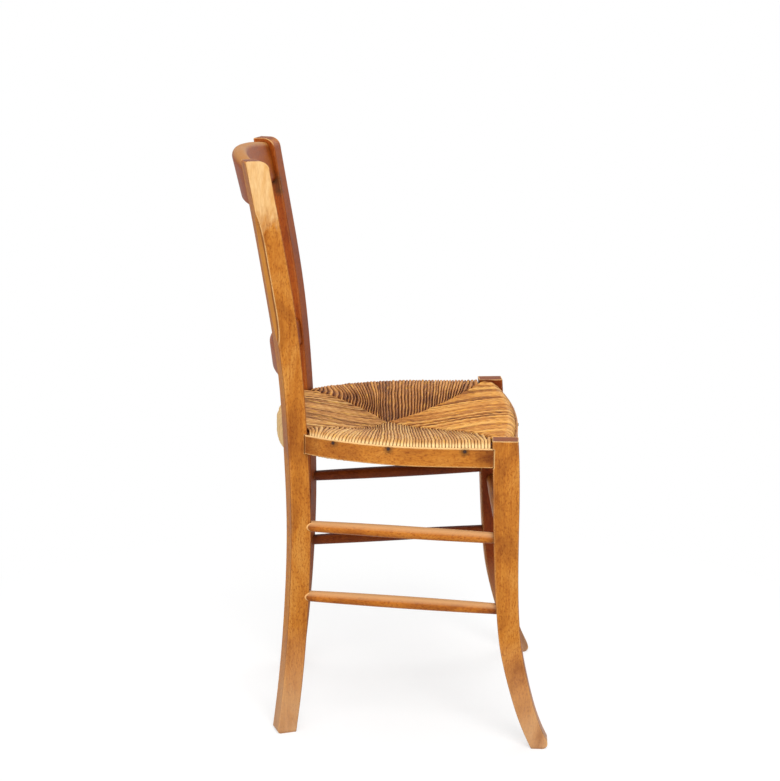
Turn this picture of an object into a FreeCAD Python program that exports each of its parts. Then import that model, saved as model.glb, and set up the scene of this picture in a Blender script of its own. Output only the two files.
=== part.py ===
# A side chair of bent and sawn beech with a wound rush seat and a curved back of two rails.
# Millimetres. +Z is up, the chair faces -Y, and the sitter's right is -X.
# The chair is worked out about the middle of its seat, then moved so that the origin is on
# the floor, in the middle of its overall depth.
import FreeCAD, Part
import os
from math import asin, atan, cos, degrees, radians, sin, sqrt, tan

V = FreeCAD.Vector

# Heights above the floor
post_height = 857.0
middle_rail_centre_height = 555.5
seat_rail_height = 443.0
upper_stretcher_height = 318.0
lower_stretcher_height = 210.5
front_stretcher_height = 300.0

# Distances from what a piece belongs to
crest_centre_below_post_top = 37.0
leg_top_above_seat_rail = 23.0

# Rear posts: each a plank sawn to one long curve, turned in plan to follow the round back
post_turn = 18.8
post_thickness = 27.5
post_corner_x = 143.4
post_corner_y = 112.8
post_foot_back = 16.0
post_shin_height = 100.0
post_shin_back = 3.5
post_calf_height = 200.0
post_calf_back = -4.4
post_knee_height = 320.0
post_knee_back = -8.4
post_seat_back = -4.3
post_waist_height = 540.0
post_waist_back = 2.1
post_lumbar_height = 640.0
post_lumbar_back = 13.2
post_shoulder_height = 740.0
post_shoulder_back = 30.0
post_top_back = 51.2
post_lower_depth = 30.1
post_upper_depth = 33.3
post_top_round = 18.0
post_back_top_round = 3.0
post_foot_round = 5.0
post_edge_round = 2.0

# Stopped chamfer on the outer rear arris of each post, between the two back rails
chamfer_on_side = 5.0
chamfer_on_rear = 12.0
chamfer_below_crest = 4.0
chamfer_above_middle_rail = 16.0
chamfer_run_out = 35.0

# Front legs: each a plank sawn to a sabre curve, square to the side of the seat
leg_turn = 3.5
leg_thickness = 26.5
leg_corner_x = 209.2
leg_corner_y = -191.8
leg_top_depth = 37.2
leg_knee_height = 300.0
leg_knee_forward = 3.2
leg_knee_depth = 35.6
leg_calf_height = 208.0
leg_calf_forward = 5.4
leg_calf_depth = 32.5
leg_shin_height = 155.0
leg_shin_forward = 10.2
leg_shin_depth = 31.6
leg_ankle_height = 100.0
leg_ankle_forward = 21.0
leg_ankle_depth = 30.2
leg_instep_height = 50.0
leg_instep_forward = 34.5
leg_instep_depth = 28.8
leg_toe_forward = 57.3
leg_toe_depth = 30.5
leg_toe_round = 8.0
leg_edge_round = 1.6

# Back rails, bent to meet the posts square and leaning back with them
crest_width = 62.0
crest_thickness = 22.0
crest_inset = 7.7
crest_lean = 13.0
crest_rise_above = 9.3
crest_drop_below = 0.5
crest_top_round = 9.0
crest_bottom_round = 6.0
middle_rail_width = 44.0
middle_rail_thickness = 20.0
middle_rail_inset = 3.6
middle_rail_lean = 7.0
middle_rail_rise_above = 1.5
middle_rail_drop_below = 0.0
middle_rail_round = 7.0
back_tenon_length = 16.0
back_tenon_thickness = 9.0
back_tenon_shoulder = 9.0

# Seat rails, hidden in the rush
seat_rail_depth = 15.0
seat_rail_width = 30.0
seat_rail_round = 5.0
seat_tenon_diameter = 12.0
seat_tenon_length = 16.0
seat_tenon_offset = 7.0
side_tenon_outset = 2.0
side_straight_end_y = -72.0
front_edge_y = -199.5
front_bow = 16.5
back_bow = 16.1

# Rush seat: four panels wound over the rails, dished to the middle
rush_thickness = 5.5
rush_shoulder_round = 13.0
rush_belly_round = 9.0
rush_dish = 21.5
rush_middle_thickness = 16.0
rush_middle_y = -7.0

# Laths nailed over the wound rails
side_lath_thickness = 4.0
front_lath_thickness = 3.5
lath_width = 28.0
lath_drop = 3.0
side_lath_rise = 4.5
side_lath_inside_leg = 1.5
side_lath_outside_post = 12.9
lath_leg_housing = 2.7
lath_post_housing = 7.0
lath_arris = 0.8
side_nail_places = (-115.5, -7.0, 72.0)
front_nail_places = (-141.0, -47.0, 47.0, 141.0)
nail_head_diameter = 4.6
nail_head_height = 1.0
nail_shank_diameter = 2.0
nail_grip = 7.0
nail_below_lath_top = 4.0

# Stretchers: rods shaved thicker in the middle
stretcher_middle_diameter = 18.5
stretcher_end_diameter = 15.5
stretcher_tenon_diameter = 12.0

# Clearances
glue_gap = 0.15
mortise_end_gap = 1.0
shoulder_gap = 0.2
rush_gap = 0.3
seam_gap = 0.3

# Longer than any cut needs
REACH = 400.0

crest_centre_height = post_height - crest_centre_below_post_top
leg_height = seat_rail_height + leg_top_above_seat_rail


# Small helpers
def moved(shape, x, y, z=0.0):
    copy = shape.copy()
    copy.translate(V(x, y, z))
    return copy


def turned(shape, angle):
    copy = shape.copy()
    copy.rotate(V(0, 0, 0), V(0, 0, 1), angle)
    return copy


def mirrored(shape):
    return shape.mirror(V(0, 0, 0), V(1, 0, 0))


def turned_point(x, y, z, angle, corner_x, corner_y):
    turn = radians(angle)
    return V(corner_x + x * cos(turn) - y * sin(turn), corner_y + x * sin(turn) + y * cos(turn), z)


# The right post and leg are drawn with X inward from the outer face and Y rearward
def post_point(x, y, z=0.0):
    return turned_point(x, y, z, post_turn, -post_corner_x, post_corner_y)


def leg_point(x, y, z=0.0):
    return turned_point(x, y, z, -leg_turn, -leg_corner_x, leg_corner_y)


def at_post(shape):
    return moved(turned(shape, post_turn), -post_corner_x, post_corner_y)


def at_leg(shape):
    return moved(turned(shape, -leg_turn), -leg_corner_x, leg_corner_y)


def rounded_outline(corners, place):
    """A closed outline with an arc at each corner; place turns flat coordinates into a point."""
    count = len(corners)
    arcs = []
    for index in range(count):
        u, w, size = corners[index]
        corner = V(u, w, 0)
        before = V(corners[index - 1][0], corners[index - 1][1], 0) - corner
        after = V(corners[(index + 1) % count][0], corners[(index + 1) % count][1], 0) - corner
        half = before.getAngle(after) / 2
        before.normalize()
        after.normalize()
        inward = before + after
        inward.normalize()
        start = corner + before * (size / tan(half))
        middle = corner + inward * (size / sin(half) - size)
        end = corner + after * (size / tan(half))
        arcs.append((place(start.x, start.y), place(middle.x, middle.y), place(end.x, end.y)))
    edges = []
    for index in range(count):
        start, middle, end = arcs[index]
        edges.append(Part.Arc(start, middle, end).toShape())
        edges.append(Part.makeLine(end, arcs[(index + 1) % count][0]))
    return Part.Wire(edges)


def in_xz(x, z):
    return V(x, 0, z)


# Sawn planks
def spline(points):
    curve = Part.BSplineCurve()
    curve.interpolate(points)
    return curve


def plank_edges(stations):
    front = spline([V(0, front_y, z) for z, front_y, depth in stations])
    rear = spline([V(0, front_y + depth, z) for z, front_y, depth in stations])
    return front, rear


def edge_at(curve, z):
    """How far back a plank's edge lies at a height."""
    low = curve.FirstParameter
    high = curve.LastParameter
    for halving in range(40):
        middle = (low + high) / 2
        if curve.value(middle).z < z:
            low = middle
        else:
            high = middle
    return curve.value(low).y


def plank(edges, thickness):
    front, rear = edges
    foot_front = front.value(front.FirstParameter)
    foot_rear = rear.value(rear.FirstParameter)
    top_front = front.value(front.LastParameter)
    top_rear = rear.value(rear.LastParameter)
    outline = Part.Wire([
        front.toShape(),
        Part.makeLine(top_front, top_rear),
        rear.toShape(),
        Part.makeLine(foot_rear, foot_front),
    ])
    return Part.Face(outline).extrude(V(thickness, 0, 0))


def upright_edges(solid, shortest):
    return [edge for edge in solid.Edges if edge.BoundBox.ZLength > shortest]


def round_off(solid, curve, at_top, rearward, size):
    """Rounds the corner where a plank's long edge meets its top or its foot."""
    spot = curve.LastParameter if at_top else curve.FirstParameter
    corner = curve.value(spot)
    along_edge = V(*curve.tangent(spot)[0])
    along_edge.normalize()
    if at_top:
        along_edge = along_edge * -1
    along_end = V(0, rearward, 0)
    half = along_edge.getAngle(along_end) / 2
    inward = along_edge + along_end
    inward.normalize()
    start = corner + along_edge * (size / tan(half))
    middle = corner + inward * (size / sin(half) - size)
    end = corner + along_end * (size / tan(half))
    away = inward * (-2 * size)
    outline = Part.Wire([
        Part.Arc(start, middle, end).toShape(),
        Part.makeLine(end, end + away),
        Part.makeLine(end + away, start + away),
        Part.makeLine(start + away, start),
    ])
    return solid.cut(moved(Part.Face(outline).extrude(V(REACH, 0, 0)), -REACH / 2, 0))


post_edges = plank_edges((
    (0.0, post_foot_back, post_lower_depth),
    (post_shin_height, post_shin_back, post_lower_depth),
    (post_calf_height, post_calf_back, post_lower_depth),
    (post_knee_height, post_knee_back, post_lower_depth),
    (seat_rail_height, post_seat_back, post_lower_depth),
    (post_waist_height, post_waist_back, post_lower_depth),
    (post_lumbar_height, post_lumbar_back, post_upper_depth),
    (post_shoulder_height, post_shoulder_back, post_upper_depth),
    (post_height, post_top_back, post_upper_depth),
))
leg_edges = plank_edges((
    (0.0, -leg_toe_forward, leg_toe_depth),
    (leg_instep_height, -leg_instep_forward, leg_instep_depth),
    (leg_ankle_height, -leg_ankle_forward, leg_ankle_depth),
    (leg_shin_height, -leg_shin_forward, leg_shin_depth),
    (leg_calf_height, -leg_calf_forward, leg_calf_depth),
    (leg_knee_height, -leg_knee_forward, leg_knee_depth),
    (leg_height, 0.0, leg_top_depth),
))
post_blank = plank(post_edges, post_thickness)
leg_blank = plank(leg_edges, leg_thickness)


def chamfer_cutter():
    """What the stopped chamfer takes off, as a loft of three-cornered sections."""
    low = middle_rail_centre_height + middle_rail_width / 2 + chamfer_above_middle_rail
    high = crest_centre_height - crest_width / 2 - chamfer_below_crest
    run_out_share = 0.1
    levels = (
        (low, run_out_share),
        (low + chamfer_run_out, 1.0),
        ((low + high) / 2, 1.0),
        (high - chamfer_run_out, 1.0),
        (high, run_out_share),
    )
    sections = []
    for z, share in levels:
        side = chamfer_on_side * share
        rear = chamfer_on_rear * share
        y = edge_at(post_edges[1], z)
        corners = [V(-rear, y - 2 * side, z), V(2 * rear, y + side, z), V(-rear, y + 2 * chamfer_on_side, z)]
        sections.append(Part.makePolygon(corners + corners[:1]))
    return Part.makeLoft(sections, True, False)


# Back rails
def back_tenon(back, height, width, lean, gap):
    length = back_tenon_length + (mortise_end_gap if gap else 0.0)
    inside_rail = 3.0
    thick = back_tenon_thickness + 2 * gap
    tall = width - 2 * back_tenon_shoulder + 2 * gap
    block = Part.makeBox(length + inside_rail, thick, tall, V(post_thickness - length, -thick / 2, -tall / 2))
    block.rotate(V(0, 0, 0), V(1, 0, 0), -lean)
    return at_post(moved(block, 0, back, height))


def back_rail(height, width, thickness, inset, lean, rise, drop, top_round, bottom_round):
    """A rail bent to an arc that meets both posts square, and the room that its tenon needs."""
    back = edge_at(post_edges[0], height) + inset + thickness / 2
    end = post_point(post_thickness, back)
    half_angle = radians(post_turn)
    radius = -end.x / sin(half_angle)
    centre_y = end.y - radius * cos(half_angle)
    slope = radians(lean)
    sections = []
    for share in (-1.0, -0.5, 0.0, 0.5, 1.0):
        angle = half_angle * share
        top = width / 2 + rise * (1 - share * share)
        bottom = -width / 2 - drop * (1 - share * share)

        def place(across, up):
            out = radius + across * cos(slope) + up * sin(slope)
            return V(
                out * sin(angle), centre_y + out * cos(angle),
                height - across * sin(slope) + up * cos(slope))

        half = thickness / 2
        corners = (
            (-half, bottom, bottom_round), (half, bottom, bottom_round),
            (half, top, top_round), (-half, top, top_round),
        )
        sections.append(rounded_outline(corners, place))
    rail = Part.makeLoft(sections, True, False)
    tenon = back_tenon(back, height, width, lean, 0.0)
    room = back_tenon(back, height, width, lean, glue_gap)
    return rail.fuse([tenon, mirrored(tenon)]), room


crest_rail, crest_room = back_rail(
    crest_centre_height, crest_width, crest_thickness, crest_inset, crest_lean,
    crest_rise_above, crest_drop_below, crest_top_round, crest_bottom_round)
middle_rail, middle_room = back_rail(
    middle_rail_centre_height, middle_rail_width, middle_rail_thickness, middle_rail_inset, middle_rail_lean,
    middle_rail_rise_above, middle_rail_drop_below, middle_rail_round, middle_rail_round)

# Lines that the edges of the seat follow
rush_half_width = seat_rail_width / 2 + rush_thickness
rush_top = seat_rail_height + rush_half_width
rush_bottom = seat_rail_height - rush_half_width
rush_outset = seat_rail_depth / 2 + rush_thickness
post_face_back = min(edge_at(post_edges[0], z) for z in (rush_bottom, seat_rail_height, rush_top))
post_middle_back = post_face_back + post_lower_depth / 2
leg_rear_corner = leg_point(0, leg_top_depth)
leg_seam_corner = leg_point(leg_thickness, leg_top_depth)
post_seam_corner = post_point(post_thickness, post_face_back)
seat_middle = V(0, rush_middle_y, 0)

# Right side: straight from the leg, then an arc on to the corner of the post
side_line_x = leg_rear_corner.x + side_lath_inside_leg
side_line_end = post_point(-side_lath_outside_post, post_face_back)
side_reach = side_line_end.y - side_straight_end_y
side_turn_in = side_line_end.x - side_line_x
side_radius = (side_reach ** 2 + side_turn_in ** 2) / (2 * side_turn_in)
side_centre = V(side_line_x + side_radius, side_straight_end_y, 0)
side_rail_inset = side_lath_thickness + rush_gap + rush_outset
side_rail_x = side_line_x + side_rail_inset

# Front and back: arcs about the middle plane
front_rail_y = front_edge_y + rush_outset
front_rail_end = leg_point(leg_thickness, leg_top_depth / 2)
front_radius = (front_rail_end.x ** 2 + front_bow ** 2) / (2 * front_bow)
front_centre = V(0, front_rail_y + front_radius, 0)
back_rail_end = post_point(post_thickness, post_middle_back)
back_radius = (back_rail_end.x ** 2 + back_bow ** 2) / (2 * back_bow)
back_rail_y = back_rail_end.y + back_bow
back_centre = V(0, back_rail_y - back_radius, 0)


def swept_side(face, inset):
    """Carries a face drawn about (0, 0), X inward, along the line that lies this far inside the side line."""
    start = moved(face, side_line_x + inset, side_straight_end_y)
    straight = start.extrude(V(0, -REACH / 2, 0))
    curved = start.revolve(side_centre, V(0, 0, 1), -60)
    return straight.fuse(curved).removeSplitter()


def swept_front(face, y):
    """Carries a face drawn about (0, 0), X inward, round the bow of the front."""
    start = moved(turned(face, 90), 0, y)
    start.rotate(front_centre, V(0, 0, 1), -20)
    return start.revolve(front_centre, V(0, 0, 1), 40)


def swept_back(face, y):
    """Carries a face drawn about (0, 0), X inward, round the bow of the back."""
    start = moved(turned(face, -90), 0, y)
    start.rotate(back_centre, V(0, 0, 1), -25)
    return start.revolve(back_centre, V(0, 0, 1), 50)


# Room on the far side of a leg's or post's face, for trimming what stops there
def past_leg_rear(gap):
    return at_leg(Part.makeBox(2 * REACH, REACH, 3 * REACH, V(-REACH, leg_top_depth + gap - REACH, 0)))


def past_leg_side(gap):
    return at_leg(Part.makeBox(REACH, 2 * REACH, 3 * REACH, V(leg_thickness + gap - REACH, -REACH, 0)))


def past_post_front(gap):
    return at_post(Part.makeBox(2 * REACH, REACH, 3 * REACH, V(-REACH, post_face_back - gap, 0)))


def past_post_side(gap):
    return at_post(Part.makeBox(REACH, 2 * REACH, 3 * REACH, V(post_thickness + gap - REACH, -REACH, 0)))


def leg_corner(gap):
    return past_leg_rear(gap).common(past_leg_side(gap))


def post_corner(gap):
    return past_post_front(gap).common(past_post_side(gap))


# Seat rails
def rail_face(gap):
    half = seat_rail_depth / 2 + gap
    tall = seat_rail_width / 2 + gap
    size = seat_rail_round + gap
    corners = ((-half, -tall, size), (half, -tall, size), (half, tall, size), (-half, tall, size))
    face = Part.Face(rounded_outline(corners, in_xz))
    return moved(face, 0, 0, seat_rail_height)


def seat_tenon(gap):
    """A round tenon along +Y that starts a little inside its rail."""
    inside_rail = 2.0
    length = seat_tenon_length + (mortise_end_gap if gap else 0.0)
    return Part.makeCylinder(
        seat_tenon_diameter / 2 + gap, length + inside_rail, V(0, -inside_rail, 0), V(0, 1, 0))


def tenon_in_leg_rear(gap):
    inward = (side_rail_x - leg_rear_corner.x) / cos(radians(leg_turn)) - side_tenon_outset
    tenon = moved(turned(seat_tenon(gap), 180), inward, leg_top_depth, seat_rail_height + seat_tenon_offset)
    return at_leg(tenon)


def tenon_in_post_front(gap):
    turn = radians(post_turn)
    across = side_centre.x + post_corner_x
    along = side_centre.y - post_corner_y
    centre_in = across * cos(turn) + along * sin(turn)
    centre_back = along * cos(turn) - across * sin(turn)
    radius = side_radius - side_rail_inset
    inward = centre_in - sqrt(radius ** 2 - (post_face_back - centre_back) ** 2)
    tenon = moved(seat_tenon(gap), inward, post_face_back, seat_rail_height + seat_tenon_offset)
    return at_post(tenon)


def tenon_in_leg_side(gap):
    rail_y = front_centre.y - sqrt(front_radius ** 2 - front_rail_end.x ** 2)
    back = (rail_y - leg_point(leg_thickness, 0).y) / cos(radians(leg_turn))
    tenon = moved(turned(seat_tenon(gap), 90), leg_thickness, back, seat_rail_height - seat_tenon_offset)
    return at_leg(tenon)


def tenon_in_post_side(gap):
    tenon = moved(
        turned(seat_tenon(gap), 90), post_thickness, post_middle_back, seat_rail_height - seat_tenon_offset)
    return at_post(tenon)


def both(shape):
    return [shape, mirrored(shape)]


seat_rail_right = swept_side(rail_face(0.0), side_rail_inset)
seat_rail_right = seat_rail_right.cut([
    past_leg_rear(shoulder_gap), past_post_front(shoulder_gap),
    at_post(Part.makeBox(REACH, REACH, 3 * REACH, V(post_thickness, post_face_back - REACH / 4, 0))),
])
seat_rail_right = seat_rail_right.fuse([tenon_in_leg_rear(0.0), tenon_in_post_front(0.0)])
seat_rail_front = swept_front(rail_face(0.0), front_rail_y)
seat_rail_front = seat_rail_front.cut(both(past_leg_side(shoulder_gap)))
seat_rail_front = seat_rail_front.fuse(both(tenon_in_leg_side(0.0)))
seat_rail_back = swept_back(rail_face(0.0), back_rail_y)
seat_rail_back = seat_rail_back.cut(both(past_post_side(shoulder_gap)))
seat_rail_back = seat_rail_back.fuse(both(tenon_in_post_side(0.0)))


# Rush panels
def rush_face(to_middle):
    """Section across a panel, from the outside of its rail to the middle of the seat."""
    out = -rush_outset
    top = rush_half_width
    low = -rush_half_width
    middle_top = top - rush_dish
    middle_low = middle_top - rush_middle_thickness
    arc_share = 1 - sqrt(0.5)
    belly = rush_belly_round
    shoulder = rush_shoulder_round
    dip = Part.BezierCurve()
    dip.setPoles([
        in_xz(out + shoulder, top), in_xz(0.32 * to_middle, top),
        in_xz(0.6 * to_middle, middle_top), in_xz(to_middle, middle_top),
    ])
    lift = Part.BezierCurve()
    lift.setPoles([
        in_xz(to_middle, middle_low), in_xz(0.6 * to_middle, middle_low),
        in_xz(0.4 * to_middle, low), in_xz(out + belly, low),
    ])
    outline = Part.Wire([
        Part.Arc(
            in_xz(out + belly, low), in_xz(out + belly * arc_share, low + belly * arc_share),
            in_xz(out, low + belly)).toShape(),
        Part.makeLine(in_xz(out, low + belly), in_xz(out, top - shoulder)),
        Part.Arc(
            in_xz(out, top - shoulder), in_xz(out + shoulder * arc_share, top - shoulder * arc_share),
            in_xz(out + shoulder, top)).toShape(),
        dip.toShape(),
        Part.makeLine(in_xz(to_middle, middle_top), in_xz(to_middle, middle_low)),
        lift.toShape(),
    ])
    face = moved(Part.Face(outline), 0, 0, seat_rail_height)
    return face.cut(rail_face(rush_gap)).Faces[0]


def column(points):
    corners = [V(point.x, point.y, 0) for point in points]
    return Part.Face(Part.makePolygon(corners + corners[:1])).extrude(V(0, 0, 2 * REACH))


def seam_blade(corner):
    """A thin upright cut from a corner of the seat to its middle."""
    along = seat_middle - V(corner.x, corner.y, 0)
    across = V(-along.y, along.x, 0)
    across.normalize()
    across = across * (seam_gap / 2)
    past = along * 0.01
    return column([corner - past - across, corner - past + across, seat_middle + past + across, seat_middle + past - across])


def other_side(point):
    return V(-point.x, point.y, 0)


leg_seam = seam_blade(leg_seam_corner)
post_seam = seam_blade(post_seam_corner)
seams = both(leg_seam) + both(post_seam)
rush_room = both(leg_corner(rush_gap)) + both(post_corner(rush_gap)) + seams
side_column = column([
    seat_middle, leg_seam_corner, leg_point(-REACH / 4, leg_top_depth),
    post_point(-REACH / 4, post_face_back), post_seam_corner,
])
front_column = column([
    seat_middle, leg_seam_corner, leg_point(leg_thickness, -REACH / 8),
    other_side(leg_point(leg_thickness, -REACH / 8)), other_side(leg_seam_corner),
])
back_column = column([
    seat_middle, post_seam_corner, post_point(post_thickness, REACH / 4),
    other_side(post_point(post_thickness, REACH / 4)), other_side(post_seam_corner),
])
rush_right = swept_side(rush_face(-side_rail_x), side_rail_inset).common(side_column).cut(rush_room)
rush_front = swept_front(rush_face(rush_middle_y - front_rail_y), front_rail_y)
rush_front = rush_front.common(front_column).cut(rush_room)
rush_back = swept_back(rush_face(back_rail_y - rush_middle_y), back_rail_y)
rush_back = rush_back.common(back_column).cut(rush_room)

# Laths and their nails
lath_height = seat_rail_height - lath_drop
side_lath_run = side_line_end.y - leg_rear_corner.y


def raised(shape):
    """Tips a side lath up towards the back, about its front end."""
    copy = shape.copy()
    pivot = V(0, leg_rear_corner.y, lath_height)
    copy.rotate(pivot, V(1, 0, 0), degrees(atan(side_lath_rise / side_lath_run)))
    return copy


def lath_face(outside, inside, width):
    """A lath's section with its four long arrises taken off."""
    half = width / 2
    cut = lath_arris
    points = [
        in_xz(outside + cut, -half), in_xz(inside - cut, -half),
        in_xz(inside, cut - half), in_xz(inside, half - cut),
        in_xz(inside - cut, half), in_xz(outside + cut, half),
        in_xz(outside, half - cut), in_xz(outside, cut - half),
    ]
    return moved(Part.Face(Part.makePolygon(points + points[:1])), 0, 0, lath_height)


def side_lath(outside, gap):
    face = lath_face(-outside, side_lath_thickness + gap, lath_width + 2 * gap)
    ends = [past_leg_rear(-lath_leg_housing - gap), past_post_front(-lath_post_housing - gap)]
    return raised(swept_side(face, 0.0).cut(ends))


side_lath_right = side_lath(0.0, 0.0)
side_lath_room = side_lath(post_thickness / 3, glue_gap)
front_line_y = front_edge_y - rush_gap - front_lath_thickness
front_lath = swept_front(lath_face(0.0, front_lath_thickness, lath_width), front_line_y)
front_lath = front_lath.cut(both(past_leg_side(shoulder_gap)))


def nail(thickness, gap):
    """A nail along +X through a lath whose outer face is at zero, or the hole for its shank."""
    length = thickness + rush_gap + rush_thickness + nail_grip
    shank = Part.makeCylinder(nail_shank_diameter / 2 + gap, length + gap, V(0, 0, 0), V(1, 0, 0))
    if gap:
        return shank
    head = Part.makeCylinder(nail_head_diameter / 2, nail_head_height, V(-nail_head_height, 0, 0), V(1, 0, 0))
    return head.makeFillet(nail_head_height * 0.4, [head.Edges[0]]).fuse(shank)


def side_nails(gap):
    height = lath_height + lath_width / 2 - nail_below_lath_top
    nails = []
    for y in side_nail_places:
        one = moved(nail(side_lath_thickness, gap), side_line_x, y, height)
        if y > side_straight_end_y:
            angle = degrees(asin((y - side_straight_end_y) / side_radius))
            one = moved(nail(side_lath_thickness, gap), side_line_x, side_straight_end_y, height)
            one.rotate(side_centre, V(0, 0, 1), -angle)
        nails.append(raised(one))
    return nails


def front_nails(gap):
    height = lath_height + lath_width / 2 - nail_below_lath_top
    radius = front_centre.y - front_line_y
    nails = []
    for x in front_nail_places:
        one = moved(turned(nail(front_lath_thickness, gap), 90), 0, front_line_y, height)
        one.rotate(front_centre, V(0, 0, 1), degrees(asin(x / radius)))
        nails.append(one)
    return nails


side_holes = side_nails(glue_gap)
front_holes = front_nails(glue_gap)
side_lath_right = side_lath_right.cut(side_holes)
rush_right = rush_right.cut(side_holes)
seat_rail_right = seat_rail_right.cut(side_holes)
front_lath = front_lath.cut(front_holes)
rush_front = rush_front.cut(front_holes)
seat_rail_front = seat_rail_front.cut(front_holes)
lath_nails = side_nails(0.0) + [mirrored(one) for one in side_nails(0.0)] + front_nails(0.0)


# Stretchers
def rod(start, end):
    """A round rod between two points, thickest in the middle."""
    length = (end - start).Length
    bulge = Part.Arc(
        V(stretcher_end_diameter / 2, 0, 0), V(stretcher_middle_diameter / 2, 0, length / 2),
        V(stretcher_end_diameter / 2, 0, length)).toShape()
    outline = Part.Wire([
        Part.makeLine(V(0, 0, 0), V(stretcher_end_diameter / 2, 0, 0)),
        bulge,
        Part.makeLine(V(stretcher_end_diameter / 2, 0, length), V(0, 0, length)),
        Part.makeLine(V(0, 0, length), V(0, 0, 0)),
    ])
    body = Part.Face(outline).revolve(V(0, 0, 0), V(0, 0, 1), 360)
    return placed_along(body, start, end)


def tenon_rod(start, end, gap):
    reach = mortise_end_gap if gap else 0.0
    length = (end - start).Length + 2 * reach
    bar = Part.makeCylinder(stretcher_tenon_diameter / 2 + gap, length, V(0, 0, -reach))
    return placed_along(bar, start, end)


def placed_along(shape, start, end):
    copy = shape.copy()
    turn = FreeCAD.Rotation(V(0, 0, 1), end - start)
    copy.Placement = FreeCAD.Placement(start, turn)
    return copy


def leg_inside(z):
    front = edge_at(leg_edges[0], z)
    rear = edge_at(leg_edges[1], z)
    return leg_point(leg_thickness / 2, (front + rear) / 2, z)


def post_inside(z):
    front = edge_at(post_edges[0], z)
    rear = edge_at(post_edges[1], z)
    return post_point(post_thickness / 2, (front + rear) / 2, z)


def side_stretcher(z):
    """A side stretcher, and the bar of room for its tenons."""
    start = leg_inside(z)
    end = post_inside(z)
    faces = [at_leg(moved(leg_blank, 0, shoulder_gap)), at_post(moved(post_blank, 0, -shoulder_gap))]
    body = rod(start, end).cut(faces)
    return body.fuse(tenon_rod(start, end, 0.0)), tenon_rod(start, end, glue_gap)


upper_stretcher, upper_room = side_stretcher(upper_stretcher_height)
lower_stretcher, lower_room = side_stretcher(lower_stretcher_height)
front_rod_start = leg_inside(front_stretcher_height)
front_rod_end = mirrored(Part.Vertex(front_rod_start)).Point
leg_face = at_leg(moved(leg_blank, shoulder_gap, 0))
front_stretcher = rod(front_rod_start, front_rod_end).cut(both(leg_face))
front_stretcher = front_stretcher.fuse(tenon_rod(front_rod_start, front_rod_end, 0.0))
front_stretcher_room = tenon_rod(front_rod_start, front_rod_end, glue_gap)


# Right post and leg, rounded, chamfered and morticed
rear_post_right = post_blank.makeFillet(post_edge_round, upright_edges(post_blank, post_height / 2))
rear_post_right = round_off(rear_post_right, post_edges[0], True, 1, post_top_round)
rear_post_right = round_off(rear_post_right, post_edges[1], True, -1, post_back_top_round)
rear_post_right = round_off(rear_post_right, post_edges[1], False, -1, post_foot_round)
rear_post_right = at_post(rear_post_right.cut(chamfer_cutter()))
rear_post_right = rear_post_right.cut([
    crest_room, middle_room, tenon_in_post_front(glue_gap), tenon_in_post_side(glue_gap),
    upper_room, lower_room, side_lath_room,
])
front_leg_right = leg_blank.makeFillet(leg_edge_round, upright_edges(leg_blank, leg_height / 2))
front_leg_right = at_leg(round_off(front_leg_right, leg_edges[0], False, 1, leg_toe_round))
front_leg_right = front_leg_right.cut([
    tenon_in_leg_rear(glue_gap), tenon_in_leg_side(glue_gap),
    upper_room, lower_room, front_stretcher_room, side_lath_room,
])

# The whole chair, moved to stand about its own middle
right_hand = {
    "rear_post": rear_post_right,
    "front_leg": front_leg_right,
    "seat_rail_side": seat_rail_right,
    "rush_side": rush_right,
    "side_lath": side_lath_right,
    "side_stretcher_upper": upper_stretcher,
    "side_stretcher_lower": lower_stretcher,
}
nodes = {
    "crest_rail": crest_rail,
    "middle_rail": middle_rail,
    "seat_rail_front": seat_rail_front,
    "seat_rail_back": seat_rail_back,
    "rush_front": rush_front,
    "rush_back": rush_back,
    "front_lath": front_lath,
    "front_stretcher": front_stretcher,
    "lath_nails": Part.makeCompound(lath_nails),
}
for name, shape in right_hand.items():
    nodes[name + "_right"] = shape
    nodes[name + "_left"] = mirrored(shape)

outer_box = Part.makeCompound(list(nodes.values())).optimalBoundingBox(False, False)
middle_y = (outer_box.YMin + outer_box.YMax) / 2
os.makedirs("parts", exist_ok=True)
for name, shape in nodes.items():
    moved(shape, 0, -middle_y).exportStep("parts/" + name + ".step")
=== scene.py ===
"""A worn beech side chair with a wound rush seat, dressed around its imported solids.

The wood and the nails keep their solids. The wood gets varnished beech that follows the grain of
each piece, and the nails get old iron. The four rush panels are modelled strand by strand over the
rails, and replace the plain rush solids.
"""

import math
import random
from functools import partial

import bpy
import numpy as np
from mathutils import Matrix, Vector


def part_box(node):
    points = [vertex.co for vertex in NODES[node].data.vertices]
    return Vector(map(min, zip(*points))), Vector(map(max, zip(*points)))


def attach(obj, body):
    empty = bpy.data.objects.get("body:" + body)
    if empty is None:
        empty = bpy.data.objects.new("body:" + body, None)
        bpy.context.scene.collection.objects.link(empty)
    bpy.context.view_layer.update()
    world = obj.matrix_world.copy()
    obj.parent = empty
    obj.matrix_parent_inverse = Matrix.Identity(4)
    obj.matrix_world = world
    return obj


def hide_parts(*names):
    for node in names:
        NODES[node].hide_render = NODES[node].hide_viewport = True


bl_info = {
    "name": "Rush-seated beech chair",
    "version": (1, 0, 0),
    "blender": (4, 5, 0),
    "location": "View3D > Sidebar > Chair",
    "description": "Dresses the chair's solids in beech, wound rush and iron nails",
    "category": "Object",
}

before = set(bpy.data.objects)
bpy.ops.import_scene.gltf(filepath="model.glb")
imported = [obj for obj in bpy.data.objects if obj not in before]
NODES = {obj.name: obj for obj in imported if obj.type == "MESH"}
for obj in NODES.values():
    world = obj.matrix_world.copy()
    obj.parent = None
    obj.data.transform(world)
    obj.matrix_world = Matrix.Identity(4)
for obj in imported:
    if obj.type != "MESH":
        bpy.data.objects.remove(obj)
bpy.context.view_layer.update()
MM = 0.001


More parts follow.
